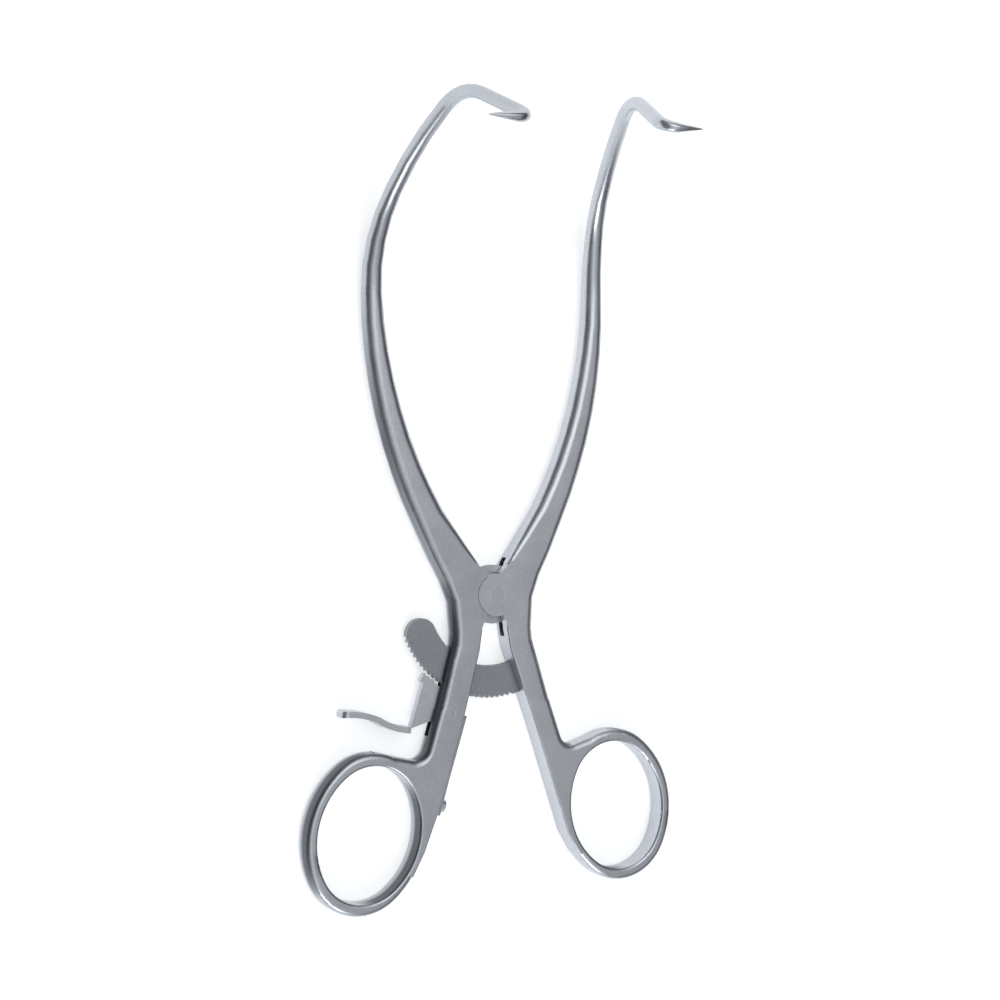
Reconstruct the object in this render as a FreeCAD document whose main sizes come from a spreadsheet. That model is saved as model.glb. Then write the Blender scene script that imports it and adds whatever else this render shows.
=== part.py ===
import FreeCAD, Part
import math
import os
import Sketcher

# Self retaining retractor with single outward points.
# Frame: origin on the joint's pin axis in the plane that the back faces lie in, +X to the right limb,
# +Y towards the tips, +Z from the back faces to the front. Lengths are millimetres, angles are degrees.

SIZES = {
    # Limb blank: a bent bar. "Out" is away from the line of symmetry between the limbs.
    "limb_half": 2.7,             # half the thickness of the limbs
    "middle_shift": 0.75,         # the line of symmetry lies this far to the left of the pin
    "saddle_out": 6.62,           # centre of the bar beside the waist
    "saddle_drop": 8.0,           # and its distance below the pin
    # Bends from the saddle towards the ring
    "shank_lean": 17.6,
    "shank_bend": 3.5,
    "shank_past": 6.6,            # the full section ends this far beyond the level of the ring's middle
    "shank_tail": 6.0,            # and it tapers off this much further, inside the ring
    # Bends from the saddle towards the tip, each a lean reached over a length
    "arm_splay": 31.3,
    "splay_bend": 21.9,
    "bow_lean": 7.6,
    "bow_bend": 73.7,
    "tip_lean": 13.2,
    "tip_bend": 45.0,
    # Rise of the arm out of the flat, each an angle reached over a length
    "rise_start": 80.0,
    "lift_angle": 39.2,
    "lift_bend": 23.7,
    "sweep_angle": 55.4,
    "sweep_bend": 23.8,
    "curl_angle": 115.5,
    "curl_bend": 12.4,
    # Sharp point that hooks outward
    "hook_start": 152.1,
    "hook_turn": 88.0,
    "hook_bend": 4.6,
    "point_length": 6.4,
    # Stations of the bar, as distances along it from the saddle
    "knuckle_station": 37.0,
    "shank_station": 22.0,
    "crown_station": 7.5,
    "crotch_station": 13.5,
    "shoulder_station": 20.0,
    "forearm_station": 28.0,
    "arm_station": 40.0,
    "bend_station": 60.0,
    # Half widths of the bar there, on the inner and the outer side
    "heel_outer": 0.9,
    "end_inner": 1.5,
    "end_outer": 0.7,
    "left_inner": 3.9,            # the left shank is wider on its inner side, where the spring lies
    "knuckle_outer": 2.6,
    "shank_half": 2.8,
    "waist_inner": 3.35,
    "waist_outer": 3.2,
    "saddle_half": 3.4,
    "crown_inner": 5.0,
    "crown_outer": 3.25,
    "crotch_inner": 5.6,
    "crotch_outer": 3.85,
    "shoulder_half": 4.3,
    "forearm_half": 3.75,
    "arm_half": 3.4,
    "arm_half_thick": 2.6,
    "bend_half": 2.85,
    "bend_half_thick": 2.45,
    "bow_half": 2.3,
    "lift_half": 1.8,
    "sweep_half": 1.55,
    "stem_half": 1.4,
    "barb_half": 1.6,
    "barb_half_thick": 0.95,
    "point_half": 0.2,
    "point_half_thick": 0.14,
    # Edge rounding of the bar
    "heel_round": 0.6,
    "crisp_edge": 0.4,
    "outer_round": 1.9,
    "crotch_round": 0.9,
    "shoulder_round": 1.6,
    "forearm_round": 2.2,
    "arm_round": 2.3,
    "bend_round": 2.25,
    "section_flat": 0.14,         # flat left on each side where the bar is round
    "point_round": 0.1,
    # Finger rings
    "ring_out": 32.07,
    "ring_drop": 51.4,
    "ring_tilt": 13.2,
    "ring_hole_half_width": 12.3,
    "ring_hole_half_length": 15.3,
    "ring_hole_end_radius": 10.6,
    "ring_side_wall": 2.25,
    "ring_end_wall": 2.8,
    "ring_end_gain": 2.0,         # the outer oval's end radius beyond that of the hole
    "ring_shift": 0.35,           # the outer oval lies this much further out than the hole
    "ring_round": 1.3,
    "rim_round": 0.7,             # on both rims of the hole
    # Web between shank and ring
    "web_top_out": 14.5,
    "web_top_drop": 25.0,
    "web_bend_out": 17.45,
    "web_bend_drop": 33.9,
    "web_arc_out": 18.75,
    "web_arc_drop": 35.5,
    "web_low_out": 20.8,
    "web_low_drop": 35.85,
    "web_end_out": 30.0,
    "web_end_drop": 33.3,
    "web_deep_drop": 36.9,
    "web_inside_out": 26.0,
    "web_inside_drop": 42.0,
    "web_foot_out": 19.3,
    "web_foot_drop": 50.5,
    "web_back_out": 11.6,
    "web_back_drop": 25.4,
    "web_round": 1.7,
    # Box joint. The right limb's cheeks hold the left limb's tongue.
    "block_top_out": 1.6,
    "block_top_rise": 5.0,
    "block_side_out": 4.6,
    "block_side_rise": 7.5,
    "block_far_out": 7.6,
    "block_far_rise": 8.0,
    "block_core_out": 7.9,
    "block_foot_out": 5.4,
    "block_foot_drop": 11.0,
    "block_saddle_out": 3.6,
    "block_saddle_drop": 8.0,
    "block_heel_out": 2.3,
    "block_heel_drop": 4.9,
    "cheek_radius": 4.85,
    "cheek_gap": 0.12,            # round the cheeks, in the recess of the left limb
    "tongue_radius": 6.7,
    "tongue_thick": 1.8,
    "fork_gap": 0.08,             # above and below the tongue
    "fork_drop": 0.5,             # the slot's middle below the pin
    "fork_half_width": 6.95,
    "fork_half_length": 10.1,
    "fork_end_radius": 5.4,
    "pin_radius": 1.9,
    "pin_gap": 0.04,
    "inside_height": 2.3,         # middle of tongue, rack, lever and slots, above the back faces
    # Ratchet rack, an arc about the pin. Its angles are measured from straight down, positive to the left.
    "rack_outer": 23.7,           # crests of the teeth
    "rack_wide": 7.4,
    "rack_thick": 1.5,
    "rack_root_angle": -27.5,
    "rack_tip_angle": 66.0,
    "rack_seat_gap": 0.03,        # round the edges of the rack in its seat
    "rack_seat_from": -5.0,
    "tooth_depth": 0.75,
    "tooth_pitch": 3.25,
    "tooth_first": -9.75,
    "tooth_count": 25,
    "tooth_over": 0.2,
    "tooth_slope": 1.083,
    "tooth_rake": 0.456,
    "rivet_radius": 0.7,
    "rivet_angle": -23.0,
    "rivet_upper": 1.7,           # from the rack's inner edge
    "rivet_lower": 2.5,           # from the crests of its teeth
    "rivet_length": 4.2,          # they end inside the limb, below its front face
    # From here on places are counted in the left shank's own frame: outward across it, and down along it
    # from the middle of the pin, or for the slot's end, lever and spring from where the rack's crests cross
    # Slot in the left shank that rack and lever pass through
    "slot_gap": 0.1,
    "slot_across": 4.8,
    "slot_top_inner": 6.3,
    "slot_top_outer": 4.3,
    "slot_end": 1.3,
    # Release lever. The pawl's notches are drawn with the pawl seated, then lifted about the lever's pin.
    "lever_pin_in": 1.38,
    "lever_pin_down": -5.24,
    "lever_pin_radius": 0.8,
    "lever_pin_gap": 0.03,
    "lever_pin_stand": 0.12,      # its rounded end stands this far out of the front face
    "lever_lift": 5.6,
    "pawl_gap": 0.12,             # round the teeth of the rack when seated
    "pawl_bore_gap": 0.2,
    "pawl_first": 14,             # counted in teeth of the rack
    "pawl_count": 4,
    "pawl_middle": 41.0,
    "pawl_half": 2.0,
    "pawl_crest": 0.57,
    "pawl_back": 1.5,
    "pawl_reach": 1.1,
    "pawl_right": 0.3,
    "pawl_root_right": 0.285,
    "pawl_root_left": 0.549,
    "pawl_left": 1.79,
    "plate_top_out": 7.4,
    "plate_top_down": -12.4,
    "plate_edge_out": 3.6,
    "plate_edge_down": -12.1,
    "plate_inner_in": 1.9,
    "plate_inner_down": -9.7,
    "plate_boss_in": 2.9,
    "plate_boss_down": -5.5,
    "plate_heel_in": 4.02,
    "plate_heel_down": -3.5,
    "plate_toe_in": 3.2,
    "plate_toe_down": -2.6,
    "plate_step_out": 3.4,
    "plate_step_down": -2.0,
    "plate_low_out": 8.7,
    "plate_low_down": 1.3,
    "plate_corner_out": 7.6,
    "plate_corner_down": 0.0,
    "tab_root_out": 8.2,
    "tab_root_down": 0.9,
    "tab_dip_out": 12.2,
    "tab_dip_down": 1.2,
    "tab_middle_out": 16.61,
    "tab_middle_down": 0.45,
    "tab_crest_out": 21.67,
    "tab_crest_down": 0.5,
    "tab_end_out": 25.4,
    "tab_end_down": 1.35,
    "tab_half_thick": 0.7,
    "tab_half_wide": 2.3,
    "tab_height": 2.6,
    "tab_round": 1.6,
    # Leaf spring and its screw, on the inner side of the left shank
    "spring_thick": 0.6,
    "spring_wide": 3.6,
    "spring_end": -5.3,
    "spring_bend": 9.3,
    "spring_foot": 17.8,
    "spring_stand": 0.3,         # its free end stands this far off the shank
    "screw_down": 15.6,
    "screw_head_radius": 1.5,
    "screw_head_height": 1.1,
    "screw_drive_half": 0.22,
    "screw_drive_depth": 0.35,
    "screw_radius": 0.75,
    "screw_length": 3.2,
    "screw_gap": 0.03,
}

THROUGH = "limb_half + limb_half"

doc = FreeCAD.newDocument("Retractor")
sheet = doc.addObject("Spreadsheet::Sheet", "Sizes")
for row, (alias, value) in enumerate(SIZES.items(), start=1):
    sheet.set("A%d" % row, alias)
    sheet.set("B%d" % row, str(value))
    sheet.setAlias("B%d" % row, alias)
doc.recompute()


def size(alias):
    return float(sheet.get(alias))


def terms(text):
    """The terms of a sum such as 'ring_out + 0.5*ring_wall - 2', as (factor, word) pairs."""
    found, sign = [], 1.0
    for word in text.split():
        if word in ("+", "-"):
            sign = 1.0 if word == "+" else -1.0
        else:
            factor, star, name = word.rpartition("*")
            found.append((sign * (float(factor) if star else 1.0), name))
            sign = 1.0
    return found


def amount(text):
    return sum(factor * (size(name) if name in SIZES else float(name)) for factor, name in terms(text))


def formula(text):
    """The same sum, written for the document's expressions."""
    known = [(factor, "Sizes." + name if name in SIZES else name) for factor, name in terms(text)]
    return " + ".join("%.4g * %s" % pair for pair in known)


def blend(first, second, share):
    """The sum that lies at a share of the way from the first sum to the second."""
    if share == 0 or first == second:
        return first
    parts = [(factor * (1 - share), name) for factor, name in terms(first)]
    parts += [(factor * share, name) for factor, name in terms(second)]
    return " + ".join("%.4f*%s" % part for part in parts)


RIGHT, LEFT = 1, -1


def new_body(label):
    body = doc.addObject("PartDesign::Body", label)
    body.Label = label
    return body


def new_sketch(body, name, placement):
    sketch = body.newObject("Sketcher::SketchObject", name)
    plane = next(o for o in body.Origin.OriginFeatures if o.Role == "XY_Plane")
    sketch.AttachmentSupport = [(plane, "")]
    sketch.MapMode = "FlatFace"
    sketch.AttachmentOffset = placement
    return sketch


def flat_at(height, x=0.0, y=0.0, turn=0.0):
    return FreeCAD.Placement(FreeCAD.Vector(x, y, height), FreeCAD.Rotation(FreeCAD.Vector(0, 0, 1), turn))


def bind(sketch, kind, entities, text, factor=1):
    """A dimension of a sketch whose value is the sum in text, held by an expression."""
    value = amount(text) * factor
    sketch.addConstraint(Sketcher.Constraint(kind, *entities, value))
    words = formula(text)
    if factor != 1:
        words = "(%s) * %s" % (words, factor)
    sketch.setExpression("Constraints[%d]" % (sketch.ConstraintCount - 1), words)


def hold_point(sketch, geometry, end, x_text, y_text, side=RIGHT):
    """Dimensions that hold a point of a sketch at (x, y), with x counted towards the given side."""
    for kind, axis, text, sign in (("DistanceX", -2, x_text, side), ("DistanceY", -1, y_text, 1)):
        value = amount(text) * sign
        if abs(value) < 1e-9:
            sketch.addConstraint(Sketcher.Constraint("PointOnObject", geometry, end, axis))
        elif value > 0:
            bind(sketch, kind, (-1, 1, geometry, end), text, sign)
        else:
            bind(sketch, kind, (geometry, end, -1, 1), text, -sign)


def below(alias):
    """A place along the left shank, counted down from where the crests of the rack's teeth cross it."""
    return "0 - rack_outer - " + alias


def spot(point, side=RIGHT):
    return FreeCAD.Vector(side * amount(point[0]), amount(point[1]), 0)


def arc_through(start, passing, end):
    """The arc through three points, always held counter-clockwise about +Z."""
    curve = Part.Arc(start, passing, end).toShape().Curve
    centre, radius = curve.Center, curve.Radius
    turns = [math.atan2(point.y - centre.y, point.x - centre.x) for point in (start, passing, end)]
    forward = (turns[1] - turns[0]) % (2 * math.pi) < (turns[2] - turns[0]) % (2 * math.pi)
    first, last = (turns[0], turns[2]) if forward else (turns[2], turns[0])
    circle = Part.Circle(centre, FreeCAD.Vector(0, 0, 1), radius)
    return Part.ArcOfCircle(circle, first, first + (last - first) % (2 * math.pi))


def outline(sketch, corners, side=RIGHT):
    """A closed outline through corners (x, y), or (x, y, x, y) with a point that an arc passes on its way."""
    start = corners[-1][-2:]
    for index, corner in enumerate(corners):
        end = corner[-2:]
        if len(corner) == 2:
            sketch.addGeometry(Part.LineSegment(spot(start, side), spot(end, side)))
        else:
            sketch.addGeometry(arc_through(spot(start, side), spot(corner[:2], side), spot(end, side)))
        start = end
    count = len(corners)
    starts, ends = [], []
    here = spot(corners[-1][-2:], side)
    for index in range(count):
        first = sketch.Geometry[index].StartPoint
        flipped = first.distanceToPoint(here) > 1e-6
        starts.append(2 if flipped else 1)
        ends.append(1 if flipped else 2)
        here = spot(corners[index][-2:], side)
    for index in range(count):
        following = (index + 1) % count
        joined = Sketcher.Constraint("Coincident", index, ends[index], following, starts[following])
        sketch.addConstraint(joined)
        hold_point(sketch, index, ends[index], corners[index][-2], corners[index][-1], side)
    for index, corner in enumerate(corners):
        if len(corner) == 4:
            place = sketch.addGeometry(Part.Point(spot(corner[:2], side)), True)
            hold_point(sketch, place, 1, corner[0], corner[1], side)
            sketch.addConstraint(Sketcher.Constraint("PointOnObject", place, 1, index))


def disc(sketch, radius_text, x_text="0", y_text="0", side=RIGHT):
    middle = spot((x_text, y_text), side)
    place = sketch.addGeometry(Part.Circle(middle, FreeCAD.Vector(0, 0, 1), amount(radius_text)))
    hold_point(sketch, place, 3, x_text, y_text, side)
    bind(sketch, "Radius", (place,), radius_text)
    return place


def oval(sketch, half_width, half_length, end_radius):
    """An oval of four arcs that run smoothly into each other about the origin, longer along the Y axis."""
    wide, tall, tight = amount(half_width), amount(half_length), amount(end_radius)
    rise = tall - tight
    slack = (wide * wide + rise * rise - tight * tight) / (2 * (wide - tight))
    turn = math.atan2(rise, slack - wide)
    vector = FreeCAD.Vector
    arcs = (
        (vector(wide - slack, 0, 0), slack, -turn, turn),
        (vector(0, rise, 0), tight, turn, math.pi - turn),
        (vector(slack - wide, 0, 0), slack, math.pi - turn, math.pi + turn),
        (vector(0, -rise, 0), tight, math.pi + turn, 2 * math.pi - turn),
    )
    first = sketch.GeometryCount
    for centre, radius, begin, end in arcs:
        sketch.addGeometry(Part.ArcOfCircle(Part.Circle(centre, vector(0, 0, 1), radius), begin, end))
    right, top, left, bottom = range(first, first + 4)
    for arc, following in ((right, top), (top, left), (left, bottom), (bottom, right)):
        sketch.addConstraint(Sketcher.Constraint("Tangent", arc, 2, following, 1))
    sketch.addConstraint(Sketcher.Constraint("Equal", right, left))
    sketch.addConstraint(Sketcher.Constraint("Equal", top, bottom))
    for arc, axis in ((right, -1), (left, -1), (top, -2)):
        sketch.addConstraint(Sketcher.Constraint("PointOnObject", arc, 3, axis))
    side_point = sketch.addGeometry(Part.Point(vector(wide, 0, 0)), True)
    sketch.addConstraint(Sketcher.Constraint("PointOnObject", side_point, 1, right))
    sketch.addConstraint(Sketcher.Constraint("PointOnObject", side_point, 1, -1))
    bind(sketch, "Radius", (top,), end_radius)
    bind(sketch, "DistanceY", (-1, 1, top, 3), half_length + " - " + end_radius.replace("+", "-"))
    bind(sketch, "DistanceX", (-1, 1, side_point, 1), half_width)


def pad(body, name, sketch, length_text, midplane=False):
    feature = body.newObject("PartDesign::Pad", name)
    feature.Profile = sketch
    feature.setExpression("Length", formula(length_text))
    feature.Midplane = midplane
    doc.recompute()
    return feature


def pocket(body, name, sketch, length_text, midplane=False, reversed_cut=False):
    before = body.Shape.Volume
    feature = body.newObject("PartDesign::Pocket", name)
    feature.Profile = sketch
    feature.setExpression("Length", formula(length_text))
    feature.Midplane = midplane
    feature.Reversed = reversed_cut
    doc.recompute()
    if body.Shape.Volume >= before - 1e-6:
        raise RuntimeError(name + " removed nothing")
    return feature


def fillet(body, name, base, edges, radius_text):
    feature = body.newObject("PartDesign::Fillet", name)
    feature.Base = (base, edges)
    feature.setExpression("Radius", formula(radius_text))
    doc.recompute()
    return feature


def edges_where(feature, test):
    return ["Edge%d" % (i + 1) for i, edge in enumerate(feature.Shape.Edges) if test(edge)]


# The bar's centre line, as leans and rises that change evenly between knots


def evenly(knots, distance):
    """The value at a distance along the bar, changing evenly between (distance, value) knots."""
    if distance <= knots[0][0]:
        return knots[0][1]
    for (near, low), (far, high) in zip(knots, knots[1:]):
        if distance <= far:
            return low + (high - low) * (distance - near) / (far - near)
    return knots[-1][1]


def running(start, *steps):
    """Knots from a start distance and value, and steps of (length, value)."""
    knots = [start]
    for length, value in steps:
        knots.append((knots[-1][0] + length, value))
    return knots


LEANS = [(-size("shank_bend"), -size("shank_lean"))] + running(
    (0.0, 0.0),
    (size("splay_bend"), size("arm_splay")),
    (size("bow_bend"), -size("bow_lean")),
    (size("tip_bend"), -size("tip_lean")),
    (size("hook_start") - size("splay_bend") - size("bow_bend") - size("tip_bend"), -size("tip_lean")),
    (size("hook_bend"), size("hook_turn")),
)
RISES = running(
    (size("rise_start"), 0.0),
    (size("lift_bend"), size("lift_angle")),
    (size("sweep_bend"), size("sweep_angle")),
    (size("curl_bend"), size("curl_angle")),
)


def heading(distance):
    lean = math.radians(evenly(LEANS, distance))
    rise = math.radians(evenly(RISES, distance))
    return lean, rise


def along(distance):
    """Unit vector along the bar, for the right limb."""
    lean, rise = heading(distance)
    return FreeCAD.Vector(math.sin(lean), math.cos(lean) * math.cos(rise), math.cos(lean) * math.sin(rise))


def bar_point(distance):
    """Centre of the right limb's bar, measured from the line of symmetry."""
    point = FreeCAD.Vector(size("saddle_out"), -size("saddle_drop"), size("limb_half"))
    steps = max(1, int(abs(distance) / 0.25))
    step = distance / steps
    for index in range(steps):
        point += along((index + 0.5) * step) * step
    return point


def across(distance):
    """Unit vector across the bar towards the outside, for the right limb."""
    lean, rise = heading(distance)
    return FreeCAD.Vector(math.cos(lean), -math.sin(lean) * math.cos(rise), -math.sin(lean) * math.sin(rise))


def mirrored(vector, side):
    return FreeCAD.Vector(side * vector.x, vector.y, vector.z)


def limb_point(distance, side):
    return mirrored(bar_point(distance), side) - FreeCAD.Vector(size("middle_shift"), 0, 0)


def station_placement(distance, side):
    """Placement whose X points outward across the bar and whose Y is square to the bar and to that."""
    lean, rise = heading(distance)
    outward = mirrored(across(distance), side)
    upward = FreeCAD.Vector(0, -math.sin(rise), math.cos(rise))
    normal = outward.cross(upward)
    rotation = FreeCAD.Rotation(outward, upward, normal, "ZXY")
    return FreeCAD.Placement(limb_point(distance, side), rotation)


def bar_section(body, name, distance, side, inner, outer, half_thick, inner_round, outer_round):
    """A rounded rectangle square to the bar: right side outward, left side inward, as eight edges."""
    sketch = new_sketch(body, name, station_placement(distance, side))
    reach_in, reach_out, half = amount(inner), amount(outer), amount(half_thick)
    r_in, r_out = amount(inner_round), amount(outer_round)
    vector = FreeCAD.Vector
    top, bottom, right, left = 0, 1, 2, 3
    straight = [
        (-reach_in + r_in, half, reach_out - r_out, half),
        (-reach_in + r_in, -half, reach_out - r_out, -half),
        (reach_out, half - r_out, reach_out, -half + r_out),
        (-reach_in, half - r_in, -reach_in, -half + r_in),
    ]
    for x_from, y_from, x_to, y_to in straight:
        sketch.addGeometry(Part.LineSegment(vector(x_from, y_from, 0), vector(x_to, y_to, 0)))
    corners = (
        (reach_out - r_out, half - r_out, r_out, 0.0, (right, 1), (top, 2)),
        (-reach_in + r_in, half - r_in, r_in, 90.0, (top, 1), (left, 1)),
        (-reach_in + r_in, -half + r_in, r_in, 180.0, (left, 2), (bottom, 1)),
        (reach_out - r_out, -half + r_out, r_out, 270.0, (bottom, 2), (right, 2)),
    )
    for x, y, radius, start, before, after in corners:
        circle = Part.Circle(vector(x, y, 0), vector(0, 0, 1), radius)
        arc = sketch.addGeometry(Part.ArcOfCircle(circle, math.radians(start), math.radians(start + 90)))
        sketch.addConstraint(Sketcher.Constraint("Tangent", arc, 1, before[0], before[1]))
        sketch.addConstraint(Sketcher.Constraint("Tangent", arc, 2, after[0], after[1]))
        bind(sketch, "Radius", (arc,), outer_round if x > 0 else inner_round)
    for line in (top, bottom):
        sketch.addConstraint(Sketcher.Constraint("Horizontal", line))
    for line in (right, left):
        sketch.addConstraint(Sketcher.Constraint("Vertical", line))
    bind(sketch, "DistanceY", (-1, 1, top, 1), half_thick)
    bind(sketch, "DistanceY", (bottom, 1, -1, 1), half_thick)
    bind(sketch, "DistanceX", (-1, 1, right, 1), outer)
    bind(sketch, "DistanceX", (left, 1, -1, 1), inner)
    return sketch


def lower_stations(side):
    """Distance, inner and outer half width, half thickness, inner and outer rounding, up to the saddle."""
    inner = "shank_half" if side == RIGHT else "left_inner"
    heel = "saddle_drop - ring_drop - shank_past"
    return [
        (heel + " - shank_tail", "end_inner", "end_outer", "limb_half", "crisp_edge", "heel_round"),
        (heel, "shank_half", "heel_outer", "limb_half", "crisp_edge", "heel_round"),
        ("0 - knuckle_station", inner, "knuckle_outer", "limb_half", "crisp_edge", "outer_round"),
        ("0 - shank_station", inner, "shank_half", "limb_half", "crisp_edge", "outer_round"),
        ("0 - shank_bend", "waist_inner", "waist_outer", "limb_half", "crisp_edge", "outer_round"),
    ]


def upper_stations():
    """The same from the saddle to the sharp point. The last number cuts the way to the next station."""
    lift = "rise_start + lift_bend"
    sweep = lift + " + sweep_bend"
    curl = sweep + " + curl_bend"
    end = "hook_start + hook_bend"
    tip = end + " + point_length"

    def round_bar(place, half, cuts):
        rounding = half + " - section_flat"
        return (place, half, half, half, rounding, rounding, cuts)

    def flat_bar(place, half, half_thick, rounding, cuts):
        return (place, half, half, half_thick, rounding, rounding, cuts)

    barb = "barb_half_thick - section_flat"
    return [
        lower_stations(RIGHT)[-1] + (1,),
        ("0", "saddle_half", "saddle_half", "limb_half", "crisp_edge", "outer_round", 1),
        ("crown_station", "crown_inner", "crown_outer", "limb_half", "crisp_edge", "outer_round", 1),
        ("crotch_station", "crotch_inner", "crotch_outer", "limb_half", "crotch_round", "outer_round", 1),
        ("shoulder_station", "shoulder_half", "shoulder_half", "limb_half",
         "shoulder_round", "outer_round", 1),
        flat_bar("forearm_station", "forearm_half", "limb_half", "forearm_round", 2),
        flat_bar("arm_station", "arm_half", "arm_half_thick", "arm_round", 3),
        flat_bar("bend_station", "bend_half", "bend_half_thick", "bend_round", 3),
        round_bar("rise_start", "bow_half", 4),
        round_bar(lift, "lift_half", 3),
        round_bar(sweep, "sweep_half", 6),
        round_bar(curl, "stem_half", 2),
        round_bar("hook_start", "stem_half", 4),
        (end, "barb_half", "barb_half", "barb_half_thick", barb, barb, 2),
        (tip, "point_half", "point_half", "point_half_thick", "point_round", "point_round", 1),
    ]


def cut_up(run):
    stations = []
    for near, far in zip(run, run[1:]):
        for index in range(near[-1]):
            share = index / near[-1]
            stations.append(tuple(blend(a, b, share) for a, b in zip(near[:-1], far[:-1])))
    return stations + [run[-1][:-1]]


def loft(label, stations, side):
    body = new_body(label)
    sketches = []
    for index, (place, *widths) in enumerate(stations):
        sketches.append(bar_section(body, "%s_section_%d" % (label, index), amount(place), side, *widths))
    feature = body.newObject("PartDesign::AdditiveLoft", label + "_loft")
    feature.Profile = sketches[0]
    feature.Sections = sketches[1:]
    feature.Ruled = True
    doc.recompute()
    return body


def shank_frame(side, height):
    """Frame on the straight part of a shank's centre line, Y along it, level with the saddle."""
    below = -10.0
    point = limb_point(below, side) + mirrored(along(below), side) * -below
    return flat_at(height, point.x, point.y, side * size("shank_lean"))


def ring_frame(side, height, shift=0.0):
    across = side * size("ring_out") - size("middle_shift")
    frame = flat_at(height, across, -size("ring_drop"), side * size("ring_tilt"))
    return frame * FreeCAD.Placement(FreeCAD.Vector(side * shift, 0, 0), FreeCAD.Rotation())


def ring_body(label, side):
    """The rounded oval of a finger ring, before its hole."""
    body = new_body(label)
    outer = new_sketch(body, label + "_outer", ring_frame(side, 0, size("ring_shift")))
    oval(outer, "ring_hole_half_width + ring_side_wall", "ring_hole_half_length + ring_end_wall",
         "ring_hole_end_radius + ring_end_gain")
    feature = pad(body, label + "_pad", outer, "limb_half + limb_half")
    edges = edges_where(feature, lambda edge: isinstance(edge.Curve, Part.Circle))
    fillet(body, label + "_round", feature, edges, "ring_round")
    return body


def web_body(label, side):
    body = new_body(label)
    sketch = new_sketch(body, label + "_outline", flat_at(0, -size("middle_shift")))
    outline(sketch, [
        ("web_top_out", "0 - web_top_drop"),
        ("web_bend_out", "0 - web_bend_drop"),
        ("web_arc_out", "0 - web_arc_drop", "web_low_out", "0 - web_low_drop"),
        ("web_end_out", "0 - web_end_drop"),
        ("web_end_out", "0 - web_deep_drop"),
        ("web_inside_out", "0 - web_inside_drop"),
        ("web_foot_out", "0 - web_foot_drop"),
        ("web_back_out", "0 - web_back_drop"),
    ], side)
    feature = pad(body, label + "_pad", sketch, "limb_half + limb_half")
    shift = size("middle_shift")
    ends = [(amount(x), amount(y)) for x, y in (
        ("web_top_out", "0 - web_top_drop"),
        ("web_bend_out", "0 - web_bend_drop"),
        ("web_low_out", "0 - web_low_drop"),
        ("web_end_out", "0 - web_end_drop"),
    )]

    def on_crotch(edge):
        if len(edge.Vertexes) != 2 or abs(edge.Vertexes[0].Z - edge.Vertexes[1].Z) > 0.01:
            return False
        spots = [((v.X + shift) * side, v.Y) for v in edge.Vertexes]
        return all(any(abs(x - a) + abs(y - b) < 0.02 for a, b in ends) for x, y in spots)

    fillet(body, label + "_round", feature, edges_where(feature, on_crotch), "web_round")
    return body


def block_body(label, side):
    body = new_body(label)
    sketch = new_sketch(body, label + "_outline", flat_at(0, -size("middle_shift")))
    outline(sketch, [
        ("middle_shift", "0"),
        ("block_heel_out", "0 - block_heel_drop"),
        ("block_saddle_out", "0 - block_saddle_drop"),
        ("block_foot_out", "0 - block_foot_drop"),
        ("block_core_out", "0"),
        ("block_far_out", "block_far_rise"),
        ("block_side_out", "block_side_rise"),
        ("block_top_out", "block_top_rise"),
    ], side)
    pad(body, label + "_pad", sketch, "limb_half + limb_half")
    return body


def disc_body(label, radius_text, length_text, height, x_text="0", y_text="0", placement=None):
    body = new_body(label)
    sketch = new_sketch(body, label + "_circle", placement or flat_at(height))
    disc(sketch, radius_text, x_text, y_text)
    pad(body, label + "_pad", sketch, length_text)
    return body


def oval_body(label, half_width, half_length, end_radius, length_text, placement):
    body = new_body(label)
    sketch = new_sketch(body, label + "_oval", placement)
    oval(sketch, half_width, half_length, end_radius)
    pad(body, label + "_pad", sketch, length_text, midplane=True)
    return body


def band_body(label, gap_text, thick_text, from_angle, span_text):
    """A flat band of the rack's width about the pin, through a span from an angle left of straight down."""
    body = new_body(label)
    turn = math.radians(-90 - size(from_angle))
    radial = FreeCAD.Vector(math.cos(turn), math.sin(turn), 0)
    upward = FreeCAD.Vector(0, 0, 1)
    rotation = FreeCAD.Rotation(radial, upward, radial.cross(upward), "ZXY")
    middle = FreeCAD.Vector(0, 0, size("inside_height"))
    sketch = new_sketch(body, label + "_section", FreeCAD.Placement(middle, rotation))
    near_text = "rack_outer - rack_wide" + gap_text.replace("+", "-")
    near, far = amount(near_text), amount("rack_outer" + gap_text)
    half = amount(thick_text) / 2
    vector = FreeCAD.Vector
    corners = [vector(near, -half, 0), vector(far, -half, 0), vector(far, half, 0), vector(near, half, 0)]
    for index in range(4):
        sketch.addGeometry(Part.LineSegment(corners[index], corners[(index + 1) % 4]))
    for index in range(4):
        sketch.addConstraint(Sketcher.Constraint("Coincident", index, 2, (index + 1) % 4, 1))
    for index, kind in enumerate(("Horizontal", "Vertical", "Horizontal", "Vertical")):
        sketch.addConstraint(Sketcher.Constraint(kind, index))
    bind(sketch, "DistanceX", (-1, 1, 0, 1), near_text)
    bind(sketch, "DistanceX", (-1, 1, 0, 2), "rack_outer" + gap_text)
    bind(sketch, "DistanceY", (0, 1, -1, 1), blend("0", thick_text, 0.5))
    bind(sketch, "DistanceY", (-1, 1, 2, 1), blend("0", thick_text, 0.5))
    feature = body.newObject("PartDesign::Revolution", label + "_turn")
    feature.Profile = sketch
    feature.ReferenceAxis = (sketch, ["V_Axis"])
    feature.setExpression("Angle", formula(span_text))
    doc.recompute()
    return body


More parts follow.
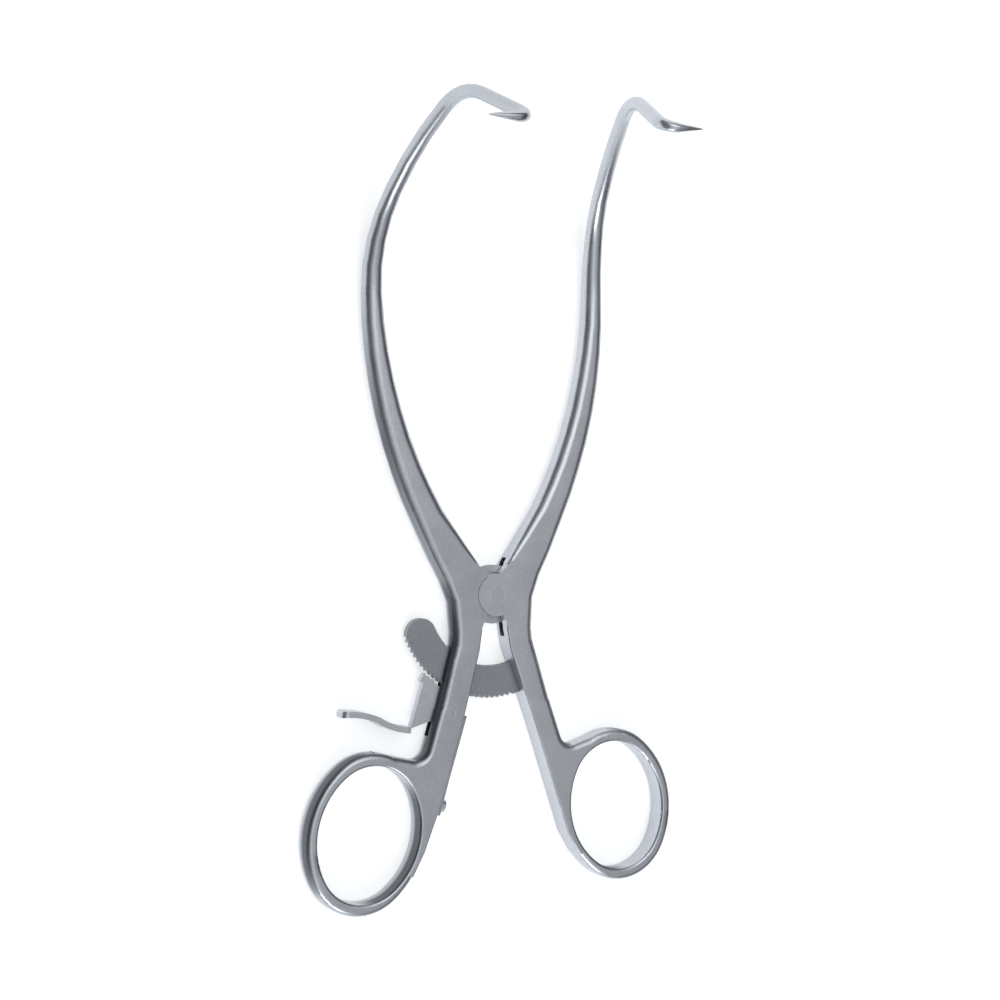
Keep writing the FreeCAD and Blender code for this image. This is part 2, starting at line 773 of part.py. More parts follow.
def pattern(body, name, original, sketch, count_alias):
    feature = body.newObject("PartDesign::PolarPattern", name)
    feature.Originals = [original]
    feature.Axis = (sketch, ["N_Axis"])
    feature.Reversed = True
    feature.setExpression("Angle", "(Sizes.%s - 1) * Sizes.tooth_pitch" % count_alias)
    feature.setExpression("Occurrences", "Sizes." + count_alias)
    body.Tip = feature
    doc.recompute()
    return feature


def fused(label, bodies):
    feature = doc.addObject("Part::MultiFuse", label)
    feature.Shapes = bodies
    feature.Refine = True
    doc.recompute()
    return feature


def carved(label, base, tools):
    feature = doc.addObject("Part::Cut", label)
    feature.Base = base
    feature.Tool = fused(label + "_cutters", tools)
    feature.Refine = True
    doc.recompute()
    feature.Label = label
    return feature


def rims_rounded(label, base, hole):
    """The limb with both rims of its ring's hole rounded."""
    feature = doc.addObject("Part::Fillet", label)
    feature.Base = base

    def on_rim(edge):
        spots = edge.discretize(4)
        if abs(spots[0].z - spots[-1].z) > 0.01:
            return False
        return all(Part.Vertex(spot).distToShape(hole.Shape)[0] < 0.005 for spot in spots)

    rims = [number for number, edge in enumerate(base.Shape.Edges, start=1) if on_rim(edge)]
    feature.Edges = [(number, size("rim_round"), size("rim_round")) for number in rims]
    doc.recompute()
    feature.Label = label
    return feature


def limb_blank(name, side, extra):
    return fused(name + "_blank", [
        loft(name + "_lower_bar", lower_stations(side), side),
        loft(name + "_upper_bar", cut_up(upper_stations()), side),
        ring_body(name + "_ring", side),
        web_body(name + "_web", side),
        block_body(name + "_block", side),
        extra,
    ])


def ring_hole(label, side):
    placement = ring_frame(side, size("limb_half"))
    return oval_body(label, "ring_hole_half_width", "ring_hole_half_length", "ring_hole_end_radius",
                     THROUGH + " + 4", placement)


# Right limb: bar, ring and web, with two cheeks that hold the tongue and a blind slot for the rack
RIVETS = flat_at(0, 0, 0, -size("rivet_angle"))
UPPER_RIVET = "rack_wide - rack_outer - rivet_upper"
LOWER_RIVET = "rivet_lower - rack_outer"
right_hole = ring_hole("right_ring_hole", RIGHT)
right_blank = limb_blank("right", RIGHT, disc_body("right_cheeks", "cheek_radius", THROUGH, 0))
UPPER_HEAD = (UPPER_RIVET, RIVETS * flat_at(-1))
LOWER_HEAD = (LOWER_RIVET, RIVETS * flat_at(-1))
right_cut = carved("right_cut", right_blank, [
    oval_body("right_fork_slot", "fork_half_width", "fork_half_length", "fork_end_radius",
              "tongue_thick + 2*fork_gap", flat_at(size("inside_height"), 0, -size("fork_drop"))),
    right_hole,
    band_body("right_rack_seat", " + rack_seat_gap", "rack_thick", "rack_seat_from",
              "rack_seat_from - rack_root_angle + rack_seat_gap"),
    disc_body("right_pin_hole", "pin_radius", THROUGH + " + 4", -2),
    disc_body("right_upper_hole", "rivet_radius", "rivet_length + 1", 0, "0", *UPPER_HEAD),
    disc_body("right_lower_hole", "rivet_radius", "rivet_length + 1", 0, "0", *LOWER_HEAD),
])
rims_rounded("right_limb", right_cut, right_hole)

# Left limb: the mirrored bar, recessed back and front round the cheeks, the tongue left between the recesses
SHANK = shank_frame(LEFT, 0)
tongue_back = size("inside_height") - size("tongue_thick") / 2
tongue_front = size("inside_height") + size("tongue_thick") / 2
left_slot = new_body("left_slot")
slot_sketch = new_sketch(left_slot, "left_slot_outline", SHANK * flat_at(size("inside_height")))
outline(slot_sketch, [
    ("0 - slot_across", "0 - slot_top_inner"),
    ("slot_across", "0 - slot_top_outer"),
    ("slot_across", below("slot_end")),
    ("0 - slot_across", below("slot_end")),
], LEFT)
pad(left_slot, "left_slot_pad", slot_sketch, "rack_thick + 2*slot_gap", midplane=True)


def looking_in(down, inward):
    """Frame on the inner side of the left shank whose Z looks away from the shank."""
    vector = FreeCAD.Vector
    rotation = FreeCAD.Rotation(vector(0, 1, 0), vector(0, 0, 1), vector(1, 0, 0), "ZXY")
    spot_in = FreeCAD.Vector(size("left_inner") + inward, amount(below(down)), size("limb_half"))
    return SHANK * FreeCAD.Placement(spot_in, rotation)


left_hole = ring_hole("left_ring_hole", LEFT)
left_tongue = disc_body("left_tongue", "tongue_radius", "tongue_thick", tongue_back)
left_cut = carved("left_cut", limb_blank("left", LEFT, left_tongue), [
    disc_body("left_back_recess", "cheek_radius + cheek_gap", "6", tongue_back - 6),
    disc_body("left_front_recess", "cheek_radius + cheek_gap", "6", tongue_front),
    disc_body("left_pin_hole", "pin_radius + pin_gap", "6", -0.5),
    left_hole,
    left_slot,
    disc_body("left_lever_hole", "lever_pin_radius", THROUGH + " + 4", 0,
              "lever_pin_in", below("lever_pin_down"), SHANK * flat_at(-2)),
    disc_body("left_screw_hole", "screw_radius", "screw_length", 0, "0", "0",
              looking_in("screw_down", -size("screw_length"))),
])
rims_rounded("left_limb", left_cut, left_hole)

# Pivot pin and the two rivets of the rack
disc_body("pivot_pin", "pin_radius", THROUGH, 0)
disc_body("rack_rivet_upper", "rivet_radius", "rivet_length", 0, "0", UPPER_RIVET, RIVETS)
disc_body("rack_rivet_lower", "rivet_radius", "rivet_length", 0, "0", LOWER_RIVET, RIVETS)

# Ratchet rack: a band about the pin with a round free end, saw teeth on its outer edge and two rivet holes
rack = band_body("ratchet_rack", "", "rack_thick", "rack_tip_angle", "rack_tip_angle - rack_root_angle")
end_sketch = new_sketch(rack, "rack_end", flat_at(size("inside_height"), 0, 0, -size("rack_tip_angle")))
disc(end_sketch, "0.5*rack_wide", "0", "0.5*rack_wide - rack_outer")
pad(rack, "rack_end_pad", end_sketch, "rack_thick", midplane=True)
tooth_sketch = new_sketch(rack, "tooth_gap", flat_at(size("inside_height"), 0, 0, -size("tooth_first")))
outline(tooth_sketch, [
    ("0", "tooth_depth - rack_outer"),
    ("tooth_slope", "0 - rack_outer - tooth_over"),
    ("0 - tooth_rake", "0 - rack_outer - tooth_over"),
])
tooth_gap = pocket(rack, "tooth_gap_pocket", tooth_sketch, "rack_thick + 1", midplane=True)
pattern(rack, "rack_teeth", tooth_gap, tooth_sketch, "tooth_count")
for name, place in (("rivet_upper", UPPER_RIVET), ("rivet_lower", LOWER_RIVET)):
    hole_sketch = new_sketch(rack, "rack_" + name + "_hole", RIVETS * flat_at(size("inside_height")))
    disc(hole_sketch, "rivet_radius", "0", place)
    pocket(rack, "rack_" + name + "_pocket", hole_sketch, "rack_thick + 1", midplane=True)

# Release lever: a plate in the slot with the pawl's notches, and a curved thumb tab
lever = new_body("release_lever")
plate_sketch = new_sketch(lever, "lever_plate", SHANK * flat_at(size("inside_height")))
outline(plate_sketch, [
    ("plate_top_out", below("plate_top_down")),
    ("plate_corner_out", below("plate_corner_down")),
    ("plate_low_out", below("plate_low_down")),
    ("plate_step_out", below("plate_step_down")),
    ("0 - plate_toe_in", below("plate_toe_down")),
    ("0 - plate_heel_in", below("plate_heel_down")),
    ("0 - plate_boss_in", below("plate_boss_down")),
    ("0 - plate_inner_in", below("plate_inner_down")),
    ("plate_edge_out", below("plate_edge_down")),
], LEFT)
pad(lever, "lever_plate_pad", plate_sketch, "rack_thick", midplane=True)
pin_spot = SHANK.multVec(FreeCAD.Vector(size("lever_pin_in"), amount(below("lever_pin_down")), 0))
LIFT_TURN = FreeCAD.Rotation(FreeCAD.Vector(0, 0, 1), size("lever_lift"))
LIFTED = FreeCAD.Placement(FreeCAD.Vector(), LIFT_TURN, pin_spot)
bore_sketch = new_sketch(lever, "lever_bore", LIFTED * flat_at(size("inside_height")))
disc(bore_sketch, "rack_outer + pawl_bore_gap")
pocket(lever, "lever_bore_pocket", bore_sketch, "rack_thick + 1", midplane=True)
pawl_sketch = new_sketch(lever, "pawl", LIFTED * flat_at(size("inside_height"), 0, 0, -size("pawl_middle")))
outline(pawl_sketch, [
    ("0 - pawl_half", "pawl_crest - rack_outer"),
    ("pawl_half", "pawl_crest - rack_outer"),
    ("pawl_half", "0 - rack_outer - pawl_back"),
    ("0 - pawl_half", "0 - rack_outer - pawl_back"),
])
pad(lever, "pawl_pad", pawl_sketch, "rack_thick", midplane=True)
notch_turn = -(size("tooth_first") + size("pawl_first") * size("tooth_pitch"))
notch_sketch = new_sketch(lever, "pawl_notch", LIFTED * flat_at(size("inside_height"), 0, 0, notch_turn))
outline(notch_sketch, [
    ("pawl_right", "pawl_reach - rack_outer"),
    ("0 - pawl_root_right", "0 - rack_outer - pawl_gap"),
    ("0 - pawl_root_left", "0 - rack_outer - pawl_gap"),
    ("0 - pawl_left", "pawl_reach - rack_outer"),
])
notch = pocket(lever, "pawl_notch_pocket", notch_sketch, "rack_thick + 1", midplane=True)
pattern(lever, "pawl_notches", notch, notch_sketch, "pawl_count")
hole_sketch = new_sketch(lever, "lever_pin_hole", SHANK * flat_at(size("inside_height")))
disc(hole_sketch, "lever_pin_radius + lever_pin_gap", "lever_pin_in", below("lever_pin_down"))
pocket(lever, "lever_pin_hole_pocket", hole_sketch, "rack_thick + 1", midplane=True)

path = new_sketch(lever, "tab_path", SHANK * flat_at(size("tab_height")))
stops = [
    ("tab_root_out", below("tab_root_down")),
    ("tab_dip_out", below("tab_dip_down")),
    ("tab_middle_out", below("tab_middle_down")),
    ("tab_crest_out", below("tab_crest_down")),
    ("tab_end_out", below("tab_end_down")),
]
for first in (0, 2):
    path.addGeometry(arc_through(*(spot(stop, LEFT) for stop in stops[first:first + 3])))
near_end = {0: 1, 1: 1}
for index in (0, 1):
    begins = path.Geometry[index].StartPoint.distanceToPoint(spot(stops[2 * index], LEFT)) < 1e-6
    near_end[index] = 1 if begins else 2
path.addConstraint(Sketcher.Constraint("Coincident", 0, 3 - near_end[0], 1, near_end[1]))
hold_point(path, 0, near_end[0], *stops[0], LEFT)
hold_point(path, 1, near_end[1], *stops[2], LEFT)
hold_point(path, 1, 3 - near_end[1], *stops[4], LEFT)
for index in (0, 1):
    through = path.addGeometry(Part.Point(spot(stops[2 * index + 1], LEFT)), True)
    hold_point(path, through, 1, *stops[2 * index + 1], LEFT)
    path.addConstraint(Sketcher.Constraint("PointOnObject", through, 1, index))
doc.recompute()
start, bend = spot(stops[0], LEFT), spot(stops[1], LEFT)
first_arc = Part.Arc(start, bend, spot(stops[2], LEFT))
tangent = first_arc.tangent(first_arc.parameter(start))[0]
upright = FreeCAD.Vector(0, 0, 1)
section_turn = FreeCAD.Rotation(upright.cross(tangent) * -1, upright, tangent, "ZYX")
section_place = SHANK * FreeCAD.Placement(start + FreeCAD.Vector(0, 0, size("tab_height")), section_turn)
section = new_sketch(lever, "tab_section", section_place)
outline(section, [
    ("0 - tab_half_thick", "0 - tab_half_wide"),
    ("tab_half_thick", "0 - tab_half_wide"),
    ("tab_half_thick", "tab_half_wide"),
    ("0 - tab_half_thick", "tab_half_wide"),
])
pipe = lever.newObject("PartDesign::AdditivePipe", "tab_pipe")
pipe.Profile = section
pipe.Spine = (path, ["Edge1", "Edge2"])
doc.recompute()
tab_end = SHANK.multVec(spot(stops[4], LEFT))


def at_tab_end(edge):
    if len(edge.Vertexes) != 2:
        return False
    near = all(math.hypot(v.X - tab_end.x, v.Y - tab_end.y) < 1.2 for v in edge.Vertexes)
    level = abs(edge.Vertexes[0].Z - edge.Vertexes[1].Z) < 0.01
    return near and level and abs(edge.Length - 2 * size("tab_half_thick")) < 0.3


fillet(lever, "tab_round", pipe, edges_where(pipe, at_tab_end), "tab_round")

# Pin of the lever, through the left shank
lever_pin = disc_body("lever_pin", "lever_pin_radius", THROUGH + " + lever_pin_stand", 0,
                      "lever_pin_in", below("lever_pin_down"), SHANK)
front_edges = edges_where(lever_pin.Tip, lambda edge: edge.BoundBox.ZMin > 2 * size("limb_half"))
fillet(lever_pin, "lever_pin_end", lever_pin.Tip, front_edges, "lever_pin_stand")

# Leaf spring, flat on the shank at its foot and standing off it at the lever's heel
spring = new_body("leaf_spring")
spring_sketch = new_sketch(spring, "spring_outline", SHANK * flat_at(size("limb_half")))
outline(spring_sketch, [
    ("0 - left_inner", below("spring_foot")),
    ("0 - left_inner", below("spring_bend")),
    ("0 - left_inner - spring_stand", below("spring_end")),
    ("0 - left_inner - spring_stand - spring_thick", below("spring_end")),
    ("0 - left_inner - spring_thick", below("spring_bend")),
    ("0 - left_inner - spring_thick", below("spring_foot")),
], LEFT)
pad(spring, "spring_pad", spring_sketch, "spring_wide", midplane=True)
spring_hole = new_sketch(spring, "spring_hole", looking_in("screw_down", 0))
disc(spring_hole, "screw_radius + screw_gap")
pocket(spring, "spring_hole_pocket", spring_hole, "spring_thick + 1", reversed_cut=True)

# Screw of the spring
screw = new_body("spring_screw")
head_sketch = new_sketch(screw, "screw_head", looking_in("screw_down", size("spring_thick")))
disc(head_sketch, "screw_head_radius")
pad(screw, "screw_head_pad", head_sketch, "screw_head_height")
shaft_sketch = new_sketch(screw, "screw_shaft", looking_in("screw_down", -size("screw_length")))
disc(shaft_sketch, "screw_radius")
pad(screw, "screw_shaft_pad", shaft_sketch, "screw_length + spring_thick + 0.1")
top_frame = looking_in("screw_down", size("spring_thick") + size("screw_head_height"))
drive_sketch = new_sketch(screw, "screw_drive", top_frame)
outline(drive_sketch, [
    ("0 - screw_head_radius - 1", "0 - screw_drive_half"),
    ("screw_head_radius + 1", "0 - screw_drive_half"),
    ("screw_head_radius + 1", "screw_drive_half"),
    ("0 - screw_head_radius - 1", "screw_drive_half"),
])
pocket(screw, "screw_drive_pocket", drive_sketch, "screw_drive_depth")

doc.recompute()
for thing in doc.Objects:
    if "Invalid" in thing.State or "Error" in thing.State:
        raise RuntimeError("%s is %s" % (thing.Name, thing.State))

NODES = ["left_limb", "right_limb", "pivot_pin", "ratchet_rack", "rack_rivet_upper", "rack_rivet_lower",
         "release_lever", "lever_pin", "leaf_spring", "spring_screw"]
os.makedirs("parts", exist_ok=True)
for node in NODES:
    thing = doc.getObjectsByLabel(node)[0]
    if thing.Shape.isNull() or not thing.Shape.isValid():
        raise RuntimeError(node + " has no valid shape")
    box = thing.Shape.BoundBox
    print(node, len(thing.Shape.Solids), round(thing.Shape.Volume, 2), [round(v, 2) for v in (
        box.XMin, box.XMax, box.YMin, box.YMax, box.ZMin, box.ZMax)])
    thing.Shape.exportStep("parts/" + node + ".step")
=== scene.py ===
import math

import bpy
from mathutils import Matrix, Vector

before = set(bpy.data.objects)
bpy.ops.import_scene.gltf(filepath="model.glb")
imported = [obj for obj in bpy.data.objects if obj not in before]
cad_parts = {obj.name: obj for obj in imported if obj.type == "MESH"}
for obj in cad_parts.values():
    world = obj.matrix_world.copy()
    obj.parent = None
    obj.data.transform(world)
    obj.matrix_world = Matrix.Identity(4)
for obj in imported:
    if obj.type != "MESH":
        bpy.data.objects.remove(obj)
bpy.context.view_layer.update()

# Millimetres are turned into metres where they are used.
MM = 0.001
LEFT, RIGHT = -1, 1

# Camera: where it stands, the directions of its own axes, and its lens and sensor, in millimetres
CAMERA_SPOT = Vector((-213.85, 38.7, 398.6))
CAMERA_RIGHT = Vector((0.8772, -0.0150, 0.4799))
CAMERA_UP = Vector((0.0315, 0.9992, -0.0264))
CAMERA_BACK = Vector((-0.4791, 0.0383, 0.8769))
FOCAL_LENGTH = 71.163
SENSOR_WIDTH = 36

# Satin steel, lengths in millimetres
CLOUD_WIDTH = 7               # faint cloudy patches that polishing by hand leaves
GRAIN_HEIGHT = 0.02
RUBBED_WIDTH = 0.3            # band along each edge that handling has rubbed bright, partly wear and partly painted highlight
RUBBED_TURN = (0.995, 0.90)   # cosine of the normal's turn there, from not rubbed to fully rubbed
RUBBED_HIGHLIGHT = 0.5          # what a fully rubbed edge adds to the colour as painted highlight and wear, as a share of it
RUBBED_SMOOTHER = -0.08       # and what it adds to the roughness
GRAIN_SPAN = (0.3, 0.7)       # most of the grain's and the clouds' noise lies in these spans
CLOUD_SPAN = (0.35, 0.65)
GRAIN_SHADES = (0.91, 1.06)   # these two scale the colour, from the darkest place to the lightest
CLOUD_SHADES = (0.96, 1.03)
CLOUD_ROUGHNESS = (-0.03, 0.04)  # and this one is added to the roughness
CORNER_SHADE_OPENNESS = (0.25, 0.8)  # painted shade in corners: how open a corner is where it is darkest, and where it ends
RIM_UPRIGHT = (0.55, 0.995)   # upward share of the normal on a pin's rounded rim and on its flat end; painted shade darkens the rim

# Painted shade on the walls that face outward on the shanks and rings: a darker colour, with a duller
# roughness, lengths in millimetres
WALL_SHADE_COLOUR = "#62676c"
WALL_DULLER = 0.14            # what it adds to the roughness
WALL_FACING = (0.86, 0.5)     # parts of the direction that they face: outward, and towards the tips
WALL_TURN = (0.30, 0.72)      # cosine of the angle to it, where the finish starts and where it is full
WALL_FADE = (35, 70)          # the finish fades out between these distances from the joint to the tips
WALL_FOOT = (1.6, 2.8)        # the foot of the walls stays light up to these heights above the back faces

# Smoothing over the solids' own faces
JOIN_DISTANCE = 0.002         # millimetres
SHARP_ANGLE = 0.55            # radians; edges that bend more stay sharp

# Floor: half its width in metres, its drop below the object in millimetres, and its own glow to the eye
FLOOR_HALF = 30
FLOOR_DROP = 0.02
FLOOR_GLOW = 0.55

# Studio tent: brightness at each angle across it, in degrees left (-) or right (+) of straight up
TENT = (
    (-90, 0.06), (-45, 0.08), (-22, 0.28), (-12, 0.36), (-7, 0.39), (7, 0.39),
    (13, 0.30), (32, 0.23), (50, 0.10), (64, 0.04), (90, 0.05),
)
TENT_TINT = (0.97, 0.985, 1.0)
TENT_STRENGTH = 2.3
LAMPS_AIM = (0, 20, 0)

# Sockets of the colour mix node, which are found by number
FIRST_COLOUR, SECOND_COLOUR, MIXED_COLOUR = 6, 7, 2


def colour(hex_code):
    """An sRGB hex colour as linear red, green, blue and alpha."""
    channels = [int(hex_code[i:i + 2], 16) / 255 for i in (1, 3, 5)]
    linear = [c / 12.92 if c <= 0.04045 else ((c + 0.055) / 1.055) ** 2.4 for c in channels]
    return (*linear, 1.0)


def add_node(tree, kind, settings=None, links=None):
    """Adds a node, sets its sockets or properties by name, and links other nodes' outputs to its sockets."""
    node = tree.nodes.new(kind)
    for name, value in (settings or {}).items():
        if isinstance(name, str) and hasattr(node, name):
            setattr(node, name, value)
        else:
            node.inputs[name].default_value = value
    for name, output in (links or {}).items():
        tree.links.new(output, node.inputs[name])
    return node


def add_object(name, data):
    """Puts a mesh, camera or lamp into the scene."""
    holder = bpy.data.objects.new(name, data)
    bpy.context.scene.collection.objects.link(holder)
    return holder


def painted_wall_shade(tree, place, side):
    """1 on the walls that face outward on one side of the object, and 0 elsewhere.

    The side is 1 for right, -1 for left and 0 for neither. The foot of the walls is left out, and the value
    fades out from the joint towards the tips. It marks where the darker colour is painted on as shade.
    """
    across, tipward = WALL_FACING
    facing = add_node(tree, "ShaderNodeVectorMath",
                      {"operation": "DOT_PRODUCT", 1: (across * side, tipward, 0.0)},
                      {0: place.outputs["Normal"]})
    spot = add_node(tree, "ShaderNodeSeparateXYZ", None, {0: place.outputs["Object"]})
    faded = add_node(tree, "ShaderNodeMapRange",
                     {"From Min": WALL_FADE[0] * MM, "From Max": WALL_FADE[1] * MM,
                      "To Min": float(abs(side)), "To Max": 0.0},
                     {"Value": spot.outputs["Y"]})
    above_foot = add_node(tree, "ShaderNodeMapRange",
                          {"From Min": WALL_FOOT[0] * MM, "From Max": WALL_FOOT[1] * MM, "To Min": 0.0},
                          {"Value": spot.outputs["Z"], "To Max": faded.outputs["Result"]})
    wall_shade = add_node(tree, "ShaderNodeMapRange",
                       {"interpolation_type": "SMOOTHSTEP",
                        "From Min": WALL_TURN[0], "From Max": WALL_TURN[1]},
                       {"Value": facing.outputs["Value"], "To Max": above_foot.outputs["Result"]})
    return wall_shade.outputs["Result"]


def rubbed_and_highlit_edges(tree, cloud):
    """How far handling has rubbed the steel: in patches along edges, where a rounded normal turns away."""
    # The same mask lays a painted highlight along edges in the colour, beside the real wear in the roughness
    rounded = add_node(tree, "ShaderNodeBevel", {"samples": 4, "Radius": RUBBED_WIDTH * MM})
    surface = add_node(tree, "ShaderNodeNewGeometry")
    turned = add_node(tree, "ShaderNodeVectorMath", {"operation": "DOT_PRODUCT"},
                      {0: rounded.outputs["Normal"], 1: surface.outputs["Normal"]})
    worn = add_node(tree, "ShaderNodeMapRange",
                    {"From Min": RUBBED_TURN[0], "From Max": RUBBED_TURN[1]},
                    {"Value": turned.outputs["Value"]})
    patchy = add_node(tree, "ShaderNodeMath", {"operation": "MULTIPLY"},
                      {0: worn.outputs["Result"], 1: cloud})
    return patchy.outputs[0]


def satin_steel(name, base, roughness, grit_mm, depth, side=0, corner_shade=0.35, reach_mm=1.6, rim=0.0):
    """Stainless steel finished satin: soft reflections over a very fine grain, rubbed brighter along edges.

    The grit is the width of the grain and the depth its strength. The brightening along rubbed edges is
    partly wear and partly painted highlight. Painted shade darkens corners narrower than the reach, about the
    teeth, and by the share called rim the rounded rims of the pins. With a side, the walls below the arms
    that face outward
    on it carry painted shade: a darker colour, with a duller roughness.
    """
    material = bpy.data.materials.new(name)
    material.use_nodes = True
    tree = material.node_tree
    shader = tree.nodes["Principled BSDF"]
    shader.inputs["Metallic"].default_value = 1.0
    place = add_node(tree, "ShaderNodeTexCoord")
    grain = add_node(tree, "ShaderNodeTexNoise",
                     {"Scale": 1 / (grit_mm * MM), "Detail": 3.0, "Roughness": 0.6},
                     {"Vector": place.outputs["Object"]})
    cloud = add_node(tree, "ShaderNodeTexNoise",
                     {"Scale": 1 / (CLOUD_WIDTH * MM), "Detail": 4.0, "Roughness": 0.55},
                     {"Vector": place.outputs["Object"]})
    bump = add_node(tree, "ShaderNodeBump",
                    {"Strength": depth, "Distance": GRAIN_HEIGHT * MM},
                    {"Height": grain.outputs["Fac"]})
    tree.links.new(bump.outputs["Normal"], shader.inputs["Normal"])
    # Painted shade on the outward walls
    wall_shade = painted_wall_shade(tree, place, side)
    rubbed_and_highlit = rubbed_and_highlit_edges(tree, cloud.outputs["Fac"])

    # Colour: the steel's own or the walls' painted shade, scaled by grain, clouds, painted shade in corners,
    # rubbed edges that are partly worn and partly painted highlight, and painted shade at the rims of pins
    tone = add_node(tree, "ShaderNodeMix",
                    {"data_type": "RGBA", FIRST_COLOUR: colour(base), SECOND_COLOUR: colour(WALL_SHADE_COLOUR)},
                    {0: wall_shade})
    speck = add_node(tree, "ShaderNodeMapRange",
                     {"From Min": GRAIN_SPAN[0], "From Max": GRAIN_SPAN[1],
                      "To Min": GRAIN_SHADES[0], "To Max": GRAIN_SHADES[1]},
                     {"Value": grain.outputs["Fac"]})
    patch = add_node(tree, "ShaderNodeMapRange",
                     {"From Min": CLOUD_SPAN[0], "From Max": CLOUD_SPAN[1],
                      "To Min": CLOUD_SHADES[0], "To Max": CLOUD_SHADES[1]},
                     {"Value": cloud.outputs["Fac"]})
    # Painted shade in corners and about the teeth, from ambient occlusion
    corner = add_node(tree, "ShaderNodeAmbientOcclusion", {"samples": 6, "Distance": reach_mm * MM})
    corner_shading = add_node(tree, "ShaderNodeMapRange",
                     {"From Min": CORNER_SHADE_OPENNESS[0], "From Max": CORNER_SHADE_OPENNESS[1],
                      "To Min": 1 - corner_shade, "To Max": 1.0},
                     {"Value": corner.outputs["AO"]})
    # Painted highlight, partly wear: rubbed edges lighter in colour
    edge_highlight = add_node(tree, "ShaderNodeMath", {"operation": "MULTIPLY_ADD", 1: RUBBED_HIGHLIGHT, 2: 1.0},
                      {0: rubbed_and_highlit})
    upright = add_node(tree, "ShaderNodeSeparateXYZ", None, {0: place.outputs["Normal"]})
    # Painted shade on the rounded rims of the pins
    rim_shade = add_node(tree, "ShaderNodeMapRange",
                    {"From Min": RIM_UPRIGHT[0], "From Max": RIM_UPRIGHT[1],
                     "To Min": 1 - rim, "To Max": 1.0},
                    {"Value": upright.outputs["Z"]})
    level = speck
    for shade in (patch, corner_shading, edge_highlight, rim_shade):
        level = add_node(tree, "ShaderNodeMath", {"operation": "MULTIPLY"},
                         {0: level.outputs[0], 1: shade.outputs[0]})
    scaled = add_node(tree, "ShaderNodeVectorMath", {"operation": "SCALE"},
                      {0: tone.outputs[MIXED_COLOUR], "Scale": level.outputs[0]})
    tree.links.new(scaled.outputs["Vector"], shader.inputs["Base Color"])

    # Roughness: cloudy too, duller on the outward walls and smoother where it is rubbed
    cloudy = add_node(tree, "ShaderNodeMapRange",
                      {"From Min": CLOUD_SPAN[0], "From Max": CLOUD_SPAN[1],
                       "To Min": roughness + CLOUD_ROUGHNESS[0], "To Max": roughness + CLOUD_ROUGHNESS[1]},
                      {"Value": cloud.outputs["Fac"]})
    dull = add_node(tree, "ShaderNodeMath", {"operation": "MULTIPLY_ADD", 1: WALL_DULLER},
                    {0: wall_shade, 2: cloudy.outputs["Result"]})
    smooth = add_node(tree, "ShaderNodeMath", {"operation": "MULTIPLY_ADD", 1: RUBBED_SMOOTHER},
                      {0: rubbed_and_highlit, 2: dull.outputs[0]})
    tree.links.new(smooth.outputs[0], shader.inputs["Roughness"])
    return material


def smoothing():
    """Geometry nodes that join the faces of a solid and let light run smoothly over its shallow edges."""
    tree = bpy.data.node_groups.new("smooth over shallow edges", "GeometryNodeTree")
    tree.interface.new_socket("Geometry", in_out="INPUT", socket_type="NodeSocketGeometry")
    tree.interface.new_socket("Geometry", in_out="OUTPUT", socket_type="NodeSocketGeometry")
    source = add_node(tree, "NodeGroupInput")
    plain = add_node(tree, "GeometryNodeRemoveAttribute", {"Name": "custom_normal"}, {0: source.outputs[0]})
    joined = add_node(tree, "GeometryNodeMergeByDistance", {"Distance": JOIN_DISTANCE * MM},
                      {0: plain.outputs[0]})
    faces = add_node(tree, "GeometryNodeSetShadeSmooth", {"Shade Smooth": True}, {0: joined.outputs[0]})
    bend = add_node(tree, "GeometryNodeInputMeshEdgeAngle")
    steep = add_node(tree, "FunctionNodeCompare",
                     {"data_type": "FLOAT", "operation": "GREATER_THAN", 1: SHARP_ANGLE},
                     {0: bend.outputs["Unsigned Angle"]})
    edges = add_node(tree, "GeometryNodeSetShadeSmooth", {"domain": "EDGE", "Shade Smooth": False},
                     {0: faces.outputs[0], "Selection": steep.outputs[0]})
    add_node(tree, "NodeGroupOutput", None, {0: edges.outputs[0]})
    return tree


def pale_floor_paint():
    """Matt pale paint that looks white to the eye and in reflections, and keeps the object's soft shadow."""
    material = bpy.data.materials.new("pale floor")
    material.use_nodes = True
    tree = material.node_tree
    shader = tree.nodes["Principled BSDF"]
    shader.inputs["Base Color"].default_value = colour("#e9ebee")
    shader.inputs["Roughness"].default_value = 0.9
    shader.inputs["Specular IOR Level"].default_value = 0.1
    shader.inputs["Emission Color"].default_value = (1, 1, 1, 1)
    rays = add_node(tree, "ShaderNodeLightPath")
    seen = add_node(tree, "ShaderNodeMath", {"operation": "MAXIMUM"},
                    {0: rays.outputs["Is Camera Ray"], 1: rays.outputs["Is Glossy Ray"]})
    shown = add_node(tree, "ShaderNodeMath", {"operation": "MAXIMUM"},
                     {0: seen.outputs[0], 1: rays.outputs["Is Transmission Ray"]})
    glow = add_node(tree, "ShaderNodeMath", {"operation": "MULTIPLY", 1: FLOOR_GLOW}, {0: shown.outputs[0]})
    tree.links.new(glow.outputs[0], shader.inputs["Emission Strength"])
    return material


